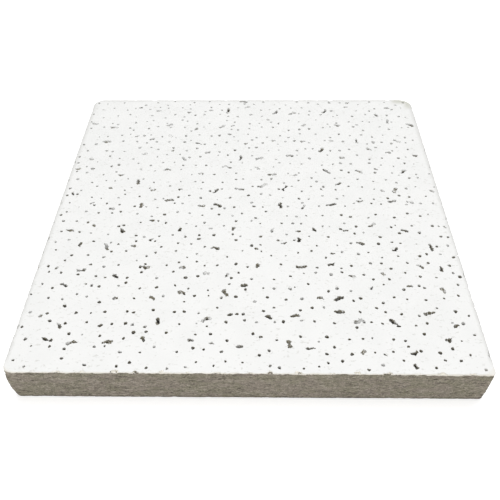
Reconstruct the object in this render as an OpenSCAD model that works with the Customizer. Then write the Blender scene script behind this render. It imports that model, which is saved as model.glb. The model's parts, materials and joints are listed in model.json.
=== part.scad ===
// Suspended ceiling tile: one square of mineral fibre board, lying on its back.
// Its face is needled with pinholes and torn with short fissures, and its cut edges are raw.

/* [Board] */
// Width of the tile, left to right
tile_w = 152; // [110:1:180]
// Depth of the tile, front to back
tile_d = 152; // [110:1:180]
// Thickness of the board
tile_t = 15; // [13:0.5:20]
// Leg of the eased arris round the back
back_ease = 0.4; // [0.3:0.1:0.9]
// Leg of the eased arris round the face
face_ease = 0.5; // [0.2:0.1:0.8]
// Whole face left between a mark and the eased arris
mark_margin = 0.2; // [0.1:0.05:3]
// Whole face left between one mark and the next
mark_gap = 0.3; // [0.15:0.05:0.8]

/* [Rubbed corners] */
// Radius of the upright corners, below their wear
upright_r = 1; // [1:0.1:2]
// Radius that the near left corner of the face is rubbed to
near_left_r = 3; // [1:0.5:8]
// Radius of the near right corner of the face, hardly worn
near_right_r = 1; // [1:0.5:8]
// Radius that the far right corner of the face is rubbed to, the most worn
far_right_r = 6; // [1:0.5:8]
// Radius that the far left corner of the face is rubbed to
far_left_r = 4; // [1:0.5:8]
// Radius that the corners of the back are rubbed to
back_corner_r = 3; // [1:0.5:6]
// Height over which a rubbed corner runs out into the upright one
rub_depth = 5; // [2:0.5:6]

/* [Pinholes] */
// Spacing of the needles
pinhole_pitch = 5.2; // [4:0.1:9]
// Diameter of the widest pinhole
pinhole_d = 1.2; // [0.8:0.05:1.6]
// Share of that diameter by which the others are narrower, at most
pinhole_spread = 0.25; // [0:0.05:0.5]
// Depth that the needles reach
pinhole_depth = 6; // [2:0.5:10]

/* [Fissures] */
// Spacing of the fissures, each a chain of torn lobes
fissure_pitch = 11; // [8:0.1:16]
// Diameter of the widest lobe
lobe_d = 1.8; // [1.2:0.1:2.2]
// Share of that diameter by which the others are narrower, at most
lobe_spread = 0.5; // [0.1:0.05:0.6]
// Share of two lobes' radii that their centres stand apart
lobe_step = 0.72; // [0.6:0.02:0.85]
// Turn from one lobe to the next, at most
lobe_turn = 55; // [10:5:60]
// Depth of the deepest lobe
fissure_depth = 2.6; // [1.5:0.1:5]

/* [Chipped arris] */
// Spacing of the chips round the face's cut edge
chip_pitch = 8.5; // [6:0.5:20]
// Radius of the widest chip
chip_r = 2.2; // [1.5:0.1:2.6]
// Reach of the widest chip in from the edge
chip_bite = 1.1; // [0.7:0.1:1.4]
// Depth of the deepest chip below the face
chip_depth = 0.9; // [0.4:0.1:2]

/* [Hidden] */
$fn = 48;

// Corner radii of the face from the near left one, anticlockwise from above
corners = [for (r = [near_left_r, near_right_r, far_right_r, far_left_r]) max(r, upright_r)];
// Length of each side and its distance from the middle, from the near one, anticlockwise
side_l = [tile_w, tile_d, tile_w, tile_d];
side_half = [tile_d, tile_w, tile_d, tile_w] / 2;
// Seeds that keep each mark and chip the same from build to build
pinhole_seed = 4100;
fissure_seed = 7300;
chip_seed = 900;
// Cuts start this far above the face, so that they leave no skin
overcut = 1;
// Rows of cells that cover the tile, counted each way from its middle
pinhole_cells = [ceil(tile_w / pinhole_pitch / 2), ceil(tile_d / pinhole_pitch / 2)];
fissure_cells = [ceil(tile_w / fissure_pitch / 2), ceil(tile_d / fissure_pitch / 2)];

// Repeatable numbers from 0 to 1 for one cell or chip
function dice(seed, i, j) = rands(0, 1, 16, seed + 1013 * i + 29 * j);

// Radius of the corner in a point's own quarter of the tile
function corner_by(p) = corners[p.y < 0 ? (p.x < 0 ? 0 : 1) : (p.x < 0 ? 3 : 2)];

// Distance from a point to the face's outline, positive inside it
function inside_by(p) =
    let (
        r = corner_by(p),
        q = [abs(p.x) - tile_w / 2 + r, abs(p.y) - tile_d / 2 + r]
    )
    r - norm([max(q.x, 0), max(q.y, 0)]) - min(max(q.x, q.y), 0) - face_ease;

// Middle of a cell, with every second row moved half a pitch
function cell_middle(pitch, i, j) = pitch * [i + (j % 2 == 0 ? 0 : 0.5), j];

// Place of a mark in its cell, strayed as far as its reach leaves room
function mark_place(pitch, i, j, reach, d) =
    cell_middle(pitch, i, j)
    + max(0, pitch / 2 - reach - mark_gap / 2) * [2 * d[0] - 1, 2 * d[1] - 1];

// Lobes of a fissure: how many, how wide, how deep and which way each follows the last
function lobe_count(d) = d[3] < 0.4 ? 2 : d[3] < 0.75 ? 3 : 4;
function lobe_r(k, d) = lobe_d / 2 * (1 - lobe_spread * d[4 + k]);
function lobe_depth(k, d) = fissure_depth * (0.3 + 0.7 * d[12 + k]);
function lobe_heading(k, d) =
    90 * (2 * d[2] - 1) * abs(2 * d[2] - 1) + (k == 1 ? 0 : lobe_turn * (2 * d[8 + k] - 1));
function lobe_at(k, d) =
    k == 0 ? [0, 0] :
    lobe_at(k - 1, d)
    + lobe_step * (lobe_r(k - 1, d) + lobe_r(k, d)) * [cos(lobe_heading(k, d)), sin(lobe_heading(k, d))];

// One fissure as a list of [place, radius, depth], about the middle of its chain
function fissure_lobes(i, j) =
    let (
        d = dice(fissure_seed, i, j),
        n = lobe_count(d),
        middle = lobe_at(n - 1, d) / 2,
        reach = max([for (k = [0 : n - 1]) norm(lobe_at(k, d) - middle) + lobe_r(k, d)]),
        place = mark_place(fissure_pitch, i, j, reach, d)
    )
    [for (k = [0 : n - 1]) [place + lobe_at(k, d) - middle, lobe_r(k, d), lobe_depth(k, d)]];

// Whether every lobe stands clear of the tile's outline
function fissure_fits(lobes) =
    min([for (l = lobes) inside_by(l[0]) - l[1]]) > mark_margin;

// Clear distance from a point to the nearest fissure in the cells round it
function fissure_clearance(p) =
    let (
        j = round(p.y / fissure_pitch),
        i = round(p.x / fissure_pitch - (j % 2 == 0 ? 0 : 0.5))
    )
    min([for (a = [-1 : 1], b = [-1 : 1]) for (l = fissure_lobes(i + a, j + b)) norm(p - l[0]) - l[1]]);

// Round cut from above the face down to a depth
module sink(r, depth) {
    translate([0, 0, tile_t - depth])
        cylinder(h = depth + overcut, r = r);
}

// Half of the board's section, from the middle out, with both arrises eased
module half_section(half) {
    polygon([
        [0, 0],
        [half - back_ease, 0],
        [half, back_ease],
        [half, tile_t - face_ease],
        [half - face_ease, tile_t],
        [0, tile_t]
    ]);
}

// Half section laid along one side, between the middles of its corners
module board_run(side) {
    translate([upright_r - side_l[side] / 2, 0, 0])
        rotate([90, 0, 90])
            mirror([1, 0, 0])
                linear_extrude(side_l[side] - 2 * upright_r) half_section(side_half[side]);
}

// Plain board with round upright corners
module blank_board() {
    for (side = [0 : 3])
        rotate([0, 0, 90 * side]) {
            board_run(side);
            translate([upright_r - side_l[side] / 2, upright_r - side_half[side], 0])
                rotate_extrude() half_section(upright_r);
        }
}

// Half of the round form that a rubbed corner keeps, from its own middle out
module rub_section(r, reach, ease) {
    polygon([
        [0, -overcut],
        [reach, -overcut],
        [reach, 0],
        [r + (reach - r) * ease / rub_depth, rub_depth - ease],
        [r - ease, rub_depth],
        [r - ease, rub_depth + 2 * overcut],
        [0, rub_depth + 2 * overcut]
    ]);
}

// Wear of one corner, widest at the face
module corner_rub(side, r, ease) {
    reach = upright_r + (r - upright_r) * sqrt(2) + 0.1;
    if (r > upright_r + 0.2)
        translate([r - side_l[side] / 2, r - side_half[side], tile_t - rub_depth])
            difference() {
                translate([-r - overcut, -r - overcut, 0])
                    cube([r + overcut, r + overcut, rub_depth + overcut]);
                rotate_extrude() rub_section(r, reach, ease);
            }
}

// The same wear turned over, widest at the back
module back_rub(side) {
    translate([0, 0, tile_t])
        mirror([0, 0, 1])
            corner_rub(side, back_corner_r, back_ease);
}

// Needled holes, one to a cell, left out where they would break the outline or a fissure
module pinholes() {
    for (i = [-pinhole_cells.x : pinhole_cells.x], j = [-pinhole_cells.y : pinhole_cells.y]) {
        d = dice(pinhole_seed, i, j);
        r = pinhole_d / 2 * (1 - pinhole_spread * d[2]);
        p = mark_place(pinhole_pitch, i, j, pinhole_d / 2, d);
        if (inside_by(p) > r + mark_margin && fissure_clearance(p) > r + mark_gap)
            translate(p) sink(r, pinhole_depth);
    }
}

// Torn fissures, one to a cell, left out where they would break the outline
module fissures() {
    for (i = [-fissure_cells.x : fissure_cells.x], j = [-fissure_cells.y : fissure_cells.y]) {
        lobes = fissure_lobes(i, j);
        if (fissure_fits(lobes))
            for (l = lobes)
                translate(l[0]) sink(l[1], l[2]);
    }
}

// Chips along the face's edge on one side of the tile
module edge_chips(side) {
    count = floor((side_l[side] - corners[side] - corners[(side + 1) % 4]) / chip_pitch) - 1;
    for (i = [0 : count]) {
        d = dice(chip_seed, i, side);
        r = chip_r * (0.6 + 0.4 * d[1]);
        bite = chip_bite * (0.4 + 0.6 * d[2]);
        x = (i - count / 2 + 0.4 * (d[0] - 0.5)) * chip_pitch;
        translate([x, bite - side_half[side] - r, 0]) sink(r, chip_depth * (0.4 + 0.6 * d[3]));
    }
}

// The tile, in one piece
module ceiling_tile() {
    color("#F3F2EE")
        difference() {
            blank_board();
            pinholes();
            fissures();
            for (side = [0 : 3])
                rotate([0, 0, 90 * side]) {
                    edge_chips(side);
                    corner_rub(side, corners[side], face_ease);
                    back_rub(side);
                }
        }
}

ceiling_tile();
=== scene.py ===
import json
import math

import bmesh
import bpy
from mathutils import Euler, Matrix, Vector

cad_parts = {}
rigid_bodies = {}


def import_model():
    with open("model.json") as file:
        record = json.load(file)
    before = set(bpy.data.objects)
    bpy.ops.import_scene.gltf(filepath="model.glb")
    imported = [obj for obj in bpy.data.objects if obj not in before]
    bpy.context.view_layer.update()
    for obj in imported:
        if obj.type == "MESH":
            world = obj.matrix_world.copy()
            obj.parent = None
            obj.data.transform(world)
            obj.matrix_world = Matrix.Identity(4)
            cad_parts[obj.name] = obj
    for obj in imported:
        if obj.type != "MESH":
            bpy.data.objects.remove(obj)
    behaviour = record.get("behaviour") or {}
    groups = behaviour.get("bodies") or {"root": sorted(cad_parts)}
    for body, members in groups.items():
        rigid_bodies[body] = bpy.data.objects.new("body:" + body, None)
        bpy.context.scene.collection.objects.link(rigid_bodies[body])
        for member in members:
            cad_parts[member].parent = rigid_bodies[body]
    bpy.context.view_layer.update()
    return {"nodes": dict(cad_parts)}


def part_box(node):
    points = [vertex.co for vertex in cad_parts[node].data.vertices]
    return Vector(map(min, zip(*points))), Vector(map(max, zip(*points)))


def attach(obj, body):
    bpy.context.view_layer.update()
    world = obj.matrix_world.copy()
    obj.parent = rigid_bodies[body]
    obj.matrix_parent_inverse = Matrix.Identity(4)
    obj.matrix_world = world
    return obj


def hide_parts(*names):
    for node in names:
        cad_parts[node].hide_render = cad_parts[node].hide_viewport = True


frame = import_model()
tileLow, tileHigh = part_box("ceiling_tile")
faceZ = tileHigh.z  # height of the painted face
halfX, halfY = tileHigh.x, tileHigh.y
mm = 0.001
tiny = 0.001 * mm  # what counts as the same place
skin = 0.01 * mm  # what counts as lying in a flat
print("frame loaded: tile of", [round(s / mm, 1) for s in tileHigh - tileLow], "mm")


def makeActive(piece):
    bpy.ops.object.select_all(action="DESELECT")
    piece.select_set(True)
    bpy.context.view_layer.objects.active = piece


def editMode(piece, selectMode):
    makeActive(piece)
    bpy.ops.object.mode_set(mode="EDIT")
    bpy.ops.mesh.select_mode(type=selectMode)
    bpy.ops.mesh.select_all(action="SELECT")


def objectMode():
    bpy.ops.object.mode_set(mode="OBJECT")


def pick(piece, kind, test):  # selects the faces, edges or verts that pass the test
    bpy.ops.mesh.select_all(action="DESELECT")
    mesh = bmesh.from_edit_mesh(piece.data)
    for part in getattr(mesh, kind):
        if test(part):
            part.select_set(True)
    bmesh.update_edit_mesh(piece.data)


def takeOut(piece, name):  # moves what is selected to a piece of its own
    bpy.ops.mesh.separate(type="SELECTED")
    objectMode()
    other = next(o for o in bpy.context.selected_objects if o is not piece)
    other.name = name
    return other


def faceOut():  # turns every face outwards
    bpy.ops.mesh.select_all(action="SELECT")
    bpy.ops.mesh.normals_make_consistent(inside=False)


def raiseFaces(height):  # extrudes the selected faces straight up
    bpy.ops.mesh.extrude_region_move(TRANSFORM_OT_translate={"value": (0, 0, height)})


def applyModifier(piece, kind, **settings):
    makeActive(piece)
    modifier = piece.modifiers.new(kind.lower(), kind)
    for name, value in settings.items():
        setattr(modifier, name, value)
    bpy.ops.object.modifier_apply(modifier=modifier.name)


def roughen(piece, grain, depth, stops=(0, 1), level=0, group=""):  # moves a surface by a torn grain, in mm
    guide = bpy.data.objects.new("grainGuide", None)  # its scale stretches the grain
    bpy.context.collection.objects.link(guide)
    guide.scale = [g * mm for g in grain]
    bpy.context.view_layer.update()
    texture = bpy.data.textures.new("grain", "CLOUDS")
    texture.noise_scale = 1
    texture.noise_depth = 2
    texture.use_color_ramp = True
    for stop, place, tone in zip(texture.color_ramp.elements, stops, (0, 1)):
        stop.position = place
        stop.color = (tone, tone, tone, 1)
    applyModifier(
        piece, "DISPLACE", texture=texture, texture_coords="OBJECT", texture_coords_object=guide,
        strength=depth * mm, mid_level=level, vertex_group=group,
    )
    bpy.data.textures.remove(texture)
    bpy.data.objects.remove(guide)


def copyOfTile(name):  # the CAD tile's own mesh, merged
    piece = bpy.data.objects.new(name, frame["nodes"]["ceiling_tile"].data.copy())
    bpy.context.collection.objects.link(piece)
    piece.data.materials.clear()
    editMode(piece, "FACE")
    bpy.ops.mesh.remove_doubles(threshold=tiny)
    return piece


board = dict(
    sliceHeight=0.5 * faceZ,  # below every mark and clear of the rubbed corners
    straight=math.radians(0.5),  # a run that turns less is straight
    columns=(91, 2),  # cuts along each side, and again in each part
    rowStep=0.45 * mm,  # up the cut edge
    cell=4.75 * mm,
    backEase=0.4 * mm,
    faceEase=0.45 * mm,
    easeRoom=1.3,  # share of an ease that the row beside it is high
    easeSegments=2,
    steep=0.5,  # a face whose normal rises less belongs to the cut edge
    uprightRadius=1 * mm,
    faceCorners={(-1, -1): 3 * mm, (1, -1): 1 * mm, (1, 1): 6 * mm, (-1, 1): 4.8 * mm},  # rubbed radii
    backCorners={(-1, -1): 2.4 * mm, (1, -1): 1.5 * mm, (1, 1): 3 * mm, (-1, 1): 3 * mm},
    rubDepth=5 * mm,  # where their wear runs out
    lipHeight=0.8 * mm,  # the paint holds the fibre together this far down
    lipWeight=0.3,
    wavy=dict(grain=(14, 14, 40), depth=-0.15, stops=(0.4, 0.8)),
    layers=dict(grain=(2.4, 2.4, 0.6), depth=-0.4, stops=(0.52, 0.78)),
    crumbs=dict(grain=(0.9, 0.9, 0.6), depth=-0.25, stops=(0.5, 0.8)),
    smooth=math.radians(35),  # a sharper turn stays an edge in the shading
    level=0.999,  # a face whose normal rises more lies in the flat
)


def midRun(vert):  # a point in the middle of a straight run
    if len(vert.link_edges) != 2:
        return False
    a, b = (e.other_vert(vert).co - vert.co for e in vert.link_edges)
    return a.angle(-b) < board["straight"]


def layCells(piece):  # divides the flat into cells, so that few marks share a face
    cells = round(2 * halfX / board["cell"])
    for axis in range(2):
        across = [0, 0, 0]
        across[axis] = 1
        for i in range(1, cells):
            bpy.ops.mesh.select_all(action="SELECT")
            at = [(2 * i / cells - 1) * halfX * a for a in across]
            bpy.ops.mesh.bisect(plane_co=at, plane_no=across)
    bpy.ops.mesh.select_all(action="SELECT")


def rubCorner(mesh, sign, radius, flat):  # draws one corner in, most at the flat it wears from
    middle = Vector((sign[0] * (halfX - radius), sign[1] * (halfY - radius)))
    reach = board["uprightRadius"] + (radius - board["uprightRadius"]) * math.sqrt(2)
    for vert in mesh.verts:
        out = vert.co.xy - middle
        run = abs(flat - vert.co.z) / board["rubDepth"]
        limit = radius + (reach - radius) * run
        if run < 1 and out.x * sign[0] > 0 and out.y * sign[1] > 0 and out.length > limit:
            vert.co.xy = middle + out * (limit / out.length)


def rubCorners(piece):
    mesh = bmesh.from_edit_mesh(piece.data)
    for corners, flat in ((board["faceCorners"], faceZ), (board["backCorners"], 0)):
        for sign, radius in corners.items():
            rubCorner(mesh, sign, radius, flat)
    bmesh.update_edit_mesh(piece.data)


def onRim(edge, height):  # where the cut edge meets a flat
    level = all(abs(v.co.z - height) < tiny for v in edge.verts)
    return level and any(abs(face.normal.z) < board["steep"] for face in edge.link_faces)


def weighCutEdge(piece):  # full on the raw fibre, less on the lip, none on the two flats
    group = piece.vertex_groups.new(name="cutEdge")
    for vert in piece.data.vertices:
        drop = faceZ - vert.co.z
        if vert.co.z > tiny and drop > tiny:
            held = max(0, 1 - drop / board["lipHeight"])
            free = min(1, vert.co.z / board["backEase"])
            group.add([vert.index], free * (1 - held * (1 - board["lipWeight"])), "REPLACE")


def makeBoard():  # grown from the CAD tile's own outline
    piece = copyOfTile("ceilingTile")
    bpy.ops.mesh.bisect(
        plane_co=(0, 0, board["sliceHeight"]), plane_no=(0, 0, 1), clear_inner=True, clear_outer=True
    )
    bpy.ops.mesh.select_mode(type="VERT")
    pick(piece, "verts", midRun)
    bpy.ops.mesh.dissolve_verts()
    longRun = min(halfX, halfY)
    pick(piece, "edges", lambda e: e.calc_length() > longRun)
    for cuts in board["columns"]:  # an operator takes 100 cuts at most
        bpy.ops.mesh.subdivide(number_cuts=cuts)
    bpy.ops.mesh.select_all(action="SELECT")
    bpy.ops.transform.translate(value=(0, 0, -board["sliceHeight"]))
    bpy.ops.mesh.edge_face_add()
    layCells(piece)
    firstRow, lastRow = (board["easeRoom"] * board[ease] for ease in ("backEase", "faceEase"))
    between = faceZ - firstRow - lastRow
    rows = round(between / board["rowStep"])
    bpy.ops.mesh.select_mode(type="FACE")
    for step in [firstRow] + [between / rows] * rows + [lastRow]:
        raiseFaces(step)
    rubCorners(piece)
    faceOut()
    bpy.ops.mesh.select_mode(type="EDGE")
    for height, ease in ((0, board["backEase"]), (faceZ, board["faceEase"])):
        pick(piece, "edges", lambda e: onRim(e, height))
        bpy.ops.mesh.bevel(offset=ease, segments=board["easeSegments"], profile=0.5, affect="EDGES")
    objectMode()
    weighCutEdge(piece)
    for tear in ("wavy", "layers", "crumbs"):
        roughen(piece, group="cutEdge", **board[tear])
    print("board:", len(piece.data.polygons), "faces")
    return piece


marks = dict(
    lift=0.8 * mm,  # cutters stand this far above the face
    needleReach=0.25 * faceZ,  # only the needled pinholes go deeper
    pinholeFacet=math.radians(24),
    pinholeSize=dict(grain=(4, 4, 40), depth=0.8, level=0.48),
    pinholeRough=dict(grain=(0.8, 0.8, 2.5), depth=1.2, level=0.52),
    voxel=0.25 * mm,
    tornShape=dict(grain=(1.3, 1.3, 1.2), depth=1.0, level=0.5),
    tornRough=dict(grain=(0.5, 0.5, 0.5), depth=1.3, level=0.58),
    tornKeep=0.16,  # share of the torn cutters' faces that is kept
    chipFloor=0.9,  # a chip's floor has a normal that rises more
    chipFacet=math.radians(1),
    chipEdge=0.05 * mm,  # what lies this near the outline is drawn out
    chipReach=0.6 * mm,  # chip cutters stand this far out of the edge
)


def closeCups():  # draws the open rims of the cups up above the face and caps them
    bpy.ops.mesh.select_mode(type="EDGE")
    bpy.ops.mesh.select_all(action="DESELECT")
    bpy.ops.mesh.select_non_manifold()
    bpy.ops.transform.translate(value=(0, 0, marks["lift"]))
    bpy.ops.mesh.fill_holes(sides=0)
    faceOut()
    objectMode()


def takePinholes(cups):
    editMode(cups, "FACE")
    pick(cups, "faces", lambda f: min(v.co.z for v in f.verts) < faceZ - marks["needleReach"])
    bpy.ops.mesh.select_linked()
    pinholes = takeOut(cups, "pinholes")
    editMode(pinholes, "FACE")
    bpy.ops.mesh.dissolve_limited(angle_limit=marks["pinholeFacet"], use_dissolve_boundaries=True)
    closeCups()
    for tear in ("pinholeSize", "pinholeRough"):
        roughen(pinholes, **marks[tear])
    return pinholes


def takeChips(band):  # the chips' floors, drawn up and out into blocks
    editMode(band, "FACE")
    pick(
        band, "faces",
        lambda f: f.normal.z < marks["chipFloor"] or f.calc_center_median().z < faceZ / 2,
    )
    bpy.ops.mesh.delete(type="FACE")
    bpy.ops.mesh.select_all(action="SELECT")
    bpy.ops.mesh.dissolve_limited(angle_limit=marks["chipFacet"])
    bpy.ops.mesh.select_all(action="SELECT")
    raiseFaces(2 * marks["lift"])
    bpy.ops.mesh.select_mode(type="VERT")
    for axis, half in ((0, halfX), (1, halfY)):
        for sign in (-1, 1):
            pick(band, "verts", lambda v: sign * v.co[axis] > half - marks["chipEdge"])
            out = [0, 0, 0]
            out[axis] = sign * marks["chipReach"]
            bpy.ops.transform.translate(value=out)
    faceOut()
    objectMode()
    return band


def makeCutters():  # taken from the CAD tile's own holes and chips
    cups = copyOfTile("fissures")
    for flat in (0, faceZ):
        pick(cups, "faces", lambda f: all(flat - skin < v.co.z < flat + skin for v in f.verts))
        bpy.ops.mesh.delete(type="FACE")  # the back and the face go, so each hole stands alone
    pick(cups, "faces", lambda f: min(v.co.x for v in f.verts) < tileLow.x + skin)
    bpy.ops.mesh.select_linked()
    chips = takeChips(takeOut(cups, "chips"))
    pinholes = takePinholes(cups)
    editMode(cups, "FACE")
    closeCups()
    makeActive(cups)
    chips.select_set(True)
    bpy.ops.object.join()
    for tear in ("tornShape", "tornRough"):
        applyModifier(cups, "REMESH", mode="VOXEL", voxel_size=marks["voxel"])
        roughen(cups, **marks[tear])
    applyModifier(cups, "DECIMATE", ratio=marks["tornKeep"])
    print("cutters:", len(pinholes.data.polygons), "and", len(cups.data.polygons), "faces")
    return cups, pinholes


def dropCrumbs(piece):  # the loose bits that the cuts leave
    editMode(piece, "VERT")
    pick(piece, "verts", lambda v: v.co.z < tiny)
    bpy.ops.mesh.select_linked()
    bpy.ops.mesh.select_all(action="INVERT")
    bpy.ops.mesh.delete(type="VERT")
    objectMode()


tile = makeBoard()
for cutter in makeCutters():
    applyModifier(tile, "BOOLEAN", object=cutter, operation="DIFFERENCE", solver="MANIFOLD")
    bpy.data.objects.remove(cutter)
dropCrumbs(tile)
tile.data.calc_loop_triangles()
print("tile:", len(tile.data.polygons), "faces,", len(tile.data.loop_triangles), "triangles")


class Value:  # one number of a shader, on which sums add Math nodes
    def __init__(self, finish, socket):
        self.finish = finish
        self.socket = socket

    def __add__(self, other):
        return self.finish.math("ADD", self, other)

    def __sub__(self, other):
        return self.finish.math("SUBTRACT", self, other)

    def __rsub__(self, other):
        return self.finish.math("SUBTRACT", other, self)

    def __mul__(self, other):
        return self.finish.math("MULTIPLY", self, other)

    __radd__ = __add__
    __rmul__ = __mul__


class Finish:  # builds the nodes of one material or of the world
    def __init__(self, owner):
        owner.use_nodes = True
        self.tree = owner.node_tree

    def feed(self, socket, value):
        if isinstance(value, Value):
            self.tree.links.new(value.socket, socket)
        else:
            socket.default_value = value

    def node(self, kind, settings, sockets, out=0):
        node = self.tree.nodes.new("ShaderNode" + kind)
        for name, value in settings.items():
            setattr(node, name, value)
        for name, value in sockets.items():
            self.feed(node.inputs[name], value)
        if isinstance(out, tuple):
            return [Value(self, node.outputs[name]) for name in out]
        return Value(self, node.outputs[out])

    def math(self, operation, *values):
        return self.node("Math", dict(operation=operation), dict(enumerate(values)))

    def distance(self, x, y):
        return self.math("SQRT", x * x + y * y)

    def mix(self, factor, a, b):
        return self.node("Mix", dict(data_type="RGBA"), {0: factor, 6: a, 7: b}, out=2)

    def grade(self, value, low, high):  # 0 at the low value, 1 at the high one, which may be the smaller
        sockets = {"Value": value, "From Min": low, "From Max": high}
        return self.node("MapRange", dict(interpolation_type="SMOOTHSTEP"), sockets)

    def grain(self, vector, size, detail, seed):  # noise with grains of that size in mm
        scale = tuple(1 / (s * mm) for s in size)
        sized = self.node("VectorMath", dict(operation="MULTIPLY"), {0: vector, 1: scale})
        place = self.node("VectorMath", dict(operation="ADD"), {0: sized, 1: (seed,) * 3})
        return self.node("TexNoise", {}, {"Vector": place, "Scale": 1, "Detail": detail})


paint = dict(
    white=(0.914, 0.914, 0.902, 1),
    shade=(0.890, 0.892, 0.880, 1),
    cream=(0.82, 0.785, 0.70, 1),  # where the coat thins over the near arris
    # painted shade of shallow dents in the face
    dentShadeTone=(0.62, 0.615, 0.575, 1),
    rimShadeTone=(0.72, 0.72, 0.70, 1),  # painted shade along the rim of the face, beside the far and side edges
    arrisShadeTone=(0.56, 0.56, 0.54, 1),  # painted shade over the other arrises
    worn=(0.62, 0.62, 0.55, 1),  # at the worst corner
    corner=4,  # radius that the distance from the edge is told by, in mm
    lip=(0.05, 1.15),  # how far down the cut edge it reaches, in mm
    lipRight=0.35,  # further still at the right end of the near edge
    rim=(0.02, 0.30),  # and down a mark
    farRim=0.45,  # further still towards the far side
    filledRim=3,  # and where it has run right in
    farFill=0.11,  # as it has more often towards the far side
    dentShadeStrength=0.5,  # strength of the painted dent shade, the painted rim shade, the thinning and the scuff
    rimShadeStrength=0.9,
    thinning=0.4,
    scuffing=0.85,
    rimShadeBand=(2.4, 0.8),  # how far in the painted rim shade reaches, in mm
    farRimShade=0.8,  # further still towards the far side
    rimShadeStray=1.4,  # how far the noise moves the edge of the painted rim shade, the thinning and the scuff, in mm
    thinStray=2,
    scuffStray=4,
    scuffInset=(4, 3),  # middle of the scuff, in from the far right corner, in mm
    roughness=0.80,
    stipple=0.05,  # height of its grain, in mm
)
fibre = dict(
    plain=(0.262, 0.226, 0.183, 1),
    olive=(0.232, 0.214, 0.152, 1),
    pale=(0.410, 0.365, 0.300, 1),
    dark=(0.085, 0.073, 0.057, 1),
    torn=(0.400, 0.365, 0.260, 1),  # fresher, inside the marks
    holeShade=(0.050, 0.044, 0.036, 1),  # painted shade down the pinholes and deep in the other marks
    tones=dict(  # noise at which a tone starts and is full, and its strength
        layer=dict(pale=(0.52, 0.72, 0.4), dark=(0.46, 0.28, 0.45)),
        streak=dict(pale=(0.54, 0.70, 1), dark=(0.46, 0.28, 1)),
        speck=dict(pale=(0.54, 0.70, 0.7), dark=(0.44, 0.30, 0.7)),
    ),
    footPaintedShadow=0.75,
    tornShare=0.7,
    roughness=0.95,
    relief=0.25,  # height of its grain, in mm
)
grains = dict(  # size in mm, detail and seed of each noise
    ragged=((1.5, 1.5, 1.5), 3, 0),
    fill=((4.5, 4.5, 4.5), 1, 7),
    fleck=((0.45, 0.45, 0.45), 2, 37),
    mottle=((9, 9, 9), 4, 3),
    dentShadeSpots=((1.3, 0.8, 1.3), 2, 41),
    rimShadeBand=((2, 2, 2), 3, 29),
    thin=((3, 3, 3), 3, 43),
    scuff=((2.5, 2.5, 2.5), 3, 31),
    stipple=((0.45, 0.45, 0.45), 2, 23),
    patch=((6, 6, 2.5), 3, 5),
    layer=((6, 6, 0.7), 2, 13),
    streak=((1.5, 1.5, 0.36), 3, 11),
    speck=((0.5, 0.5, 0.35), 2, 17),
)
bands = dict(  # where each blend starts and is full, as noise or in mm
    inner=(0.9, 1.5),  # in from the edge
    far=(-60, 70),  # from the near side to the far one
    beyondNear=(-74, -70),  # past the near arris
    rightEnd=(35, 70),
    fill=(0.58, 0.66),  # where the paint has run right into the marks
    coat=(-0.04, 0.04),  # the paint's own edge
    fleck=(0.52, 0.59),  # scraps of it left in a mark
    fleckDepth=(2.6, 1.2),
    mottle=(0.35, 0.7),
    dentShadeSpots=(0.60, 0.74),  # greyer spots: painted shade of shallow dents in the face
    overArris=(0.02, 0.4),
    thin=(1.5, 0.9),
    scuff=(9, 4),
    scuffEdge=(5, 1.5),
    patch=(0.38, 0.62),
    foot=(1.0, 0.2),  # painted contact shadow: the darker line along the back
    torn=(6, 2),
    holeShade=(0.5, 2.2),
    aboveFloor=(5, 8),  # keeps the painted hole shade clear of the back
)


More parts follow.
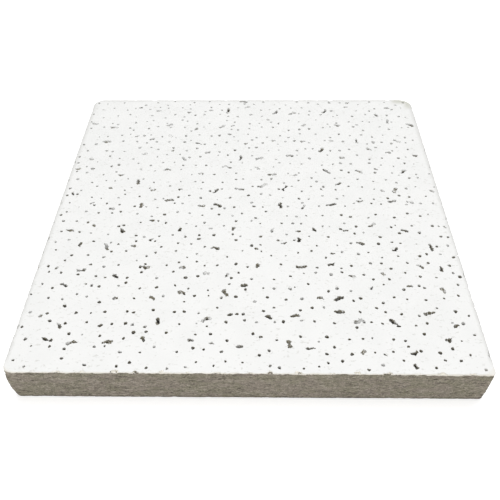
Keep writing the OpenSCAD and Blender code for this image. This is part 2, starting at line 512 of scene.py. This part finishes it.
def makePaintedBoard():
    material = bpy.data.materials.new("paintedBoard")
    f = Finish(material)
    place = f.node("TexCoord", {}, {}, out="Object")

    def noise(name):
        return f.grain(place, *grains[name])

    def band(value, name):
        return f.grade(value, *bands[name])

    def spread(value, reach):  # from the first number of a reach to the second
        return reach[0] + value * (reach[1] - reach[0])

    x, y, z = (part * (1 / mm) for part in f.node("SeparateXYZ", {}, {0: place}, out=("X", "Y", "Z")))
    depth = faceZ / mm - z
    reachX = f.math("ABSOLUTE", x) - (halfX / mm - paint["corner"])
    reachY = f.math("ABSOLUTE", y) - (halfY / mm - paint["corner"])
    past = f.distance(f.math("MAXIMUM", reachX, 0), f.math("MAXIMUM", reachY, 0))
    within = f.math("MINIMUM", f.math("MAXIMUM", reachX, reachY), 0)
    inset = paint["corner"] - past - within  # in from the edge
    inner = band(inset, "inner")
    far = band(y, "far")
    beyondNear = band(y, "beyondNear")

    ragged = noise("ragged")
    lipReach = spread(ragged, paint["lip"]) + band(x, "rightEnd") * paint["lipRight"]
    filled = band(noise("fill") + far * paint["farFill"], "fill")
    rimReach = spread(ragged, paint["rim"]) + far * paint["farRim"] + filled * paint["filledRim"]
    painted = band(lipReach + inner * (rimReach - lipReach) - depth, "coat")
    fleck = band(noise("fleck"), "fleck") * inner * band(depth, "fleckDepth")
    painted = f.math("MAXIMUM", painted, fleck)

    coat = f.mix(band(noise("mottle"), "mottle"), paint["white"], paint["shade"])
    # painted shade of shallow dents: greyer spots over the face
    coat = f.mix(band(noise("dentShadeSpots"), "dentShadeSpots") * paint["dentShadeStrength"], coat, paint["dentShadeTone"])
    # painted shade along the rim of the face, beside the far and side edges, not the near one
    rimShadeFrom, rimShadeTo = paint["rimShadeBand"]
    rimShadePlace = inset + noise("rimShadeBand") * paint["rimShadeStray"]
    rimShadeMask = f.grade(rimShadePlace, rimShadeFrom + far * paint["farRimShade"], rimShadeTo) * beyondNear
    coat = f.mix(rimShadeMask * paint["rimShadeStrength"], coat, paint["rimShadeTone"])
    # cream where the coat thins over the near arris, painted shade over the other arrises
    arrisCreamAndShade = f.mix(beyondNear, paint["cream"], paint["arrisShadeTone"])
    coat = f.mix(band(depth, "overArris") * (1 - inner), coat, arrisCreamAndShade)
    thin = band(inset + noise("thin") * paint["thinStray"], "thin") * (1 - beyondNear)
    coat = f.mix(thin * paint["thinning"], coat, paint["cream"])
    away = f.distance(halfX / mm - paint["scuffInset"][0] - x, halfY / mm - paint["scuffInset"][1] - y)
    scuff = band(away + noise("scuff") * paint["scuffStray"], "scuff") * band(inset, "scuffEdge")
    coat = f.mix(scuff * paint["scuffing"], coat, paint["worn"])

    bare = f.mix(band(noise("patch"), "patch"), fibre["plain"], fibre["olive"])
    fibreNoise = {name: noise(name) for name in fibre["tones"]}
    for name, tones in fibre["tones"].items():
        for tone, (start, full, strength) in tones.items():
            bare = f.mix(f.grade(fibreNoise[name], start, full) * strength, bare, fibre[tone])
    # painted contact shadow: darker fibre just above the back
    bare = f.mix(band(z, "foot") * fibre["footPaintedShadow"], bare, fibre["dark"])
    bare = f.mix(inner * band(depth, "torn") * fibre["tornShare"], bare, fibre["torn"])
    # painted shade deep in the marks
    bare = f.mix(inner * band(depth, "holeShade") * band(z, "aboveFloor"), bare, fibre["holeShade"])

    shader = f.tree.nodes["Principled BSDF"]
    f.feed(shader.inputs["Base Color"], f.mix(painted, bare, coat))
    f.feed(shader.inputs["Roughness"], spread(painted, (fibre["roughness"], paint["roughness"])))
    grainHeight = (1 - painted) * (fibreNoise["speck"] + fibreNoise["streak"]) * fibre["relief"]
    height = painted * noise("stipple") * paint["stipple"] + grainHeight
    bump = f.node("Bump", {}, {"Strength": 1.0, "Distance": mm, "Height": height})
    f.feed(shader.inputs["Normal"], bump)
    return material


def inFace(face):
    return face.normal.z > board["level"] and min(v.co.z for v in face.verts) > faceZ - skin


tile.data.materials.clear()
tile.data.materials.append(makePaintedBoard())
tile.data.polygons.foreach_set("material_index", [0] * len(tile.data.polygons))
makeActive(tile)
bpy.ops.object.shade_smooth_by_angle(angle=board["smooth"])
editMode(tile, "FACE")
pick(tile, "faces", inFace)
bpy.ops.mesh.region_to_loop()
bpy.ops.mesh.mark_sharp()  # the flat face keeps its own light
objectMode()
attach(tile, "root")
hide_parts("ceiling_tile")
print("tile finished")


stage = dict(
    floorSize=0.9,
    floorDrop=0.02 * mm,  # clear of the tile's back
    floorTone=0.9,
    glow=0.4,  # lifts the floor to white, with the shadow left in it
    sky=0.32,
    lamps=(  # place, width and power of each softbox
        ((0.10, 0.34, 0.90), 0.9, 4.95),
        ((-0.10, -0.70, 0.60), 0.8, 4.2),
    ),
)
white = (1, 1, 1, 1)


def backgroundMix(f, plain, glow):  # the backdrop's own white for what looks straight at it
    camera, glossy, through = f.node(
        "LightPath", {}, {}, out=("Is Camera Ray", "Is Glossy Ray", "Is Transmission Ray")
    )
    straight = f.math("MAXIMUM", camera, f.math("MAXIMUM", glossy, through))
    return f.node("MixShader", {}, {0: straight, 1: plain, 2: glow})


def makeFloor():
    bpy.ops.object.select_all(action="DESELECT")
    bpy.ops.mesh.primitive_plane_add(size=stage["floorSize"], location=(0, 0, 0))
    floor = bpy.context.object
    floor.name = "floor"
    floor.data.transform(Matrix.Translation((0, 0, -stage["floorDrop"])))
    material = bpy.data.materials.new("floor")
    f = Finish(material)
    shader = f.tree.nodes["Principled BSDF"]
    f.feed(shader.inputs["Base Color"], (stage["floorTone"],) * 3 + (1,))
    f.feed(shader.inputs["Roughness"], 1)
    plain = Value(f, shader.outputs[0])
    glow = f.node("Emission", {}, {"Color": white, "Strength": stage["glow"]})
    lifted = f.node("AddShader", {}, {0: plain, 1: glow})
    f.feed(f.tree.nodes["Material Output"].inputs["Surface"], backgroundMix(f, plain, lifted))
    floor.data.materials.append(material)


def makeLight():
    world = bpy.data.worlds.new("studio")
    bpy.context.scene.world = world
    f = Finish(world)
    sky = f.tree.nodes["Background"]
    f.feed(sky.inputs["Color"], white)
    f.feed(sky.inputs["Strength"], stage["sky"])
    shown = f.node("Background", {}, {"Color": white, "Strength": 1})
    mixed = backgroundMix(f, Value(f, sky.outputs[0]), shown)
    f.feed(f.tree.nodes["World Output"].inputs["Surface"], mixed)
    for place, width, power in stage["lamps"]:
        lamp = bpy.data.lights.new("softbox", "AREA")
        lamp.shape = "DISK"
        lamp.size = width
        lamp.energy = power
        softbox = bpy.data.objects.new("softbox", lamp)
        bpy.context.collection.objects.link(softbox)
        softbox.location = place
        softbox.rotation_euler = softbox.location.to_track_quat("Z", "Y").to_euler()


cameraSetup = dict(
    place=(0.00328, -0.1714, 0.1710),
    pitch=math.radians(46.634),  # down from level
    turn=math.radians(-1.198),  # to the right
    roll=math.radians(-0.707),
    lens=42.13,
    sensor=36,
    nearest=0.005,
)


def makeCamera():
    data = bpy.data.cameras.new("camera")
    data.lens = cameraSetup["lens"]
    data.sensor_width = cameraSetup["sensor"]
    data.clip_start = cameraSetup["nearest"]
    camera = bpy.data.objects.new("camera", data)
    bpy.context.collection.objects.link(camera)
    look = Euler((math.pi / 2 - cameraSetup["pitch"], 0, -cameraSetup["turn"]))
    roll = Matrix.Rotation(cameraSetup["roll"], 4, "Z")
    camera.matrix_world = Matrix.Translation(cameraSetup["place"]) @ look.to_matrix().to_4x4() @ roll
    bpy.context.scene.camera = camera


makeFloor()
makeLight()
makeCamera()
bpy.context.scene.view_settings.view_transform = "Standard"
print("stage set")
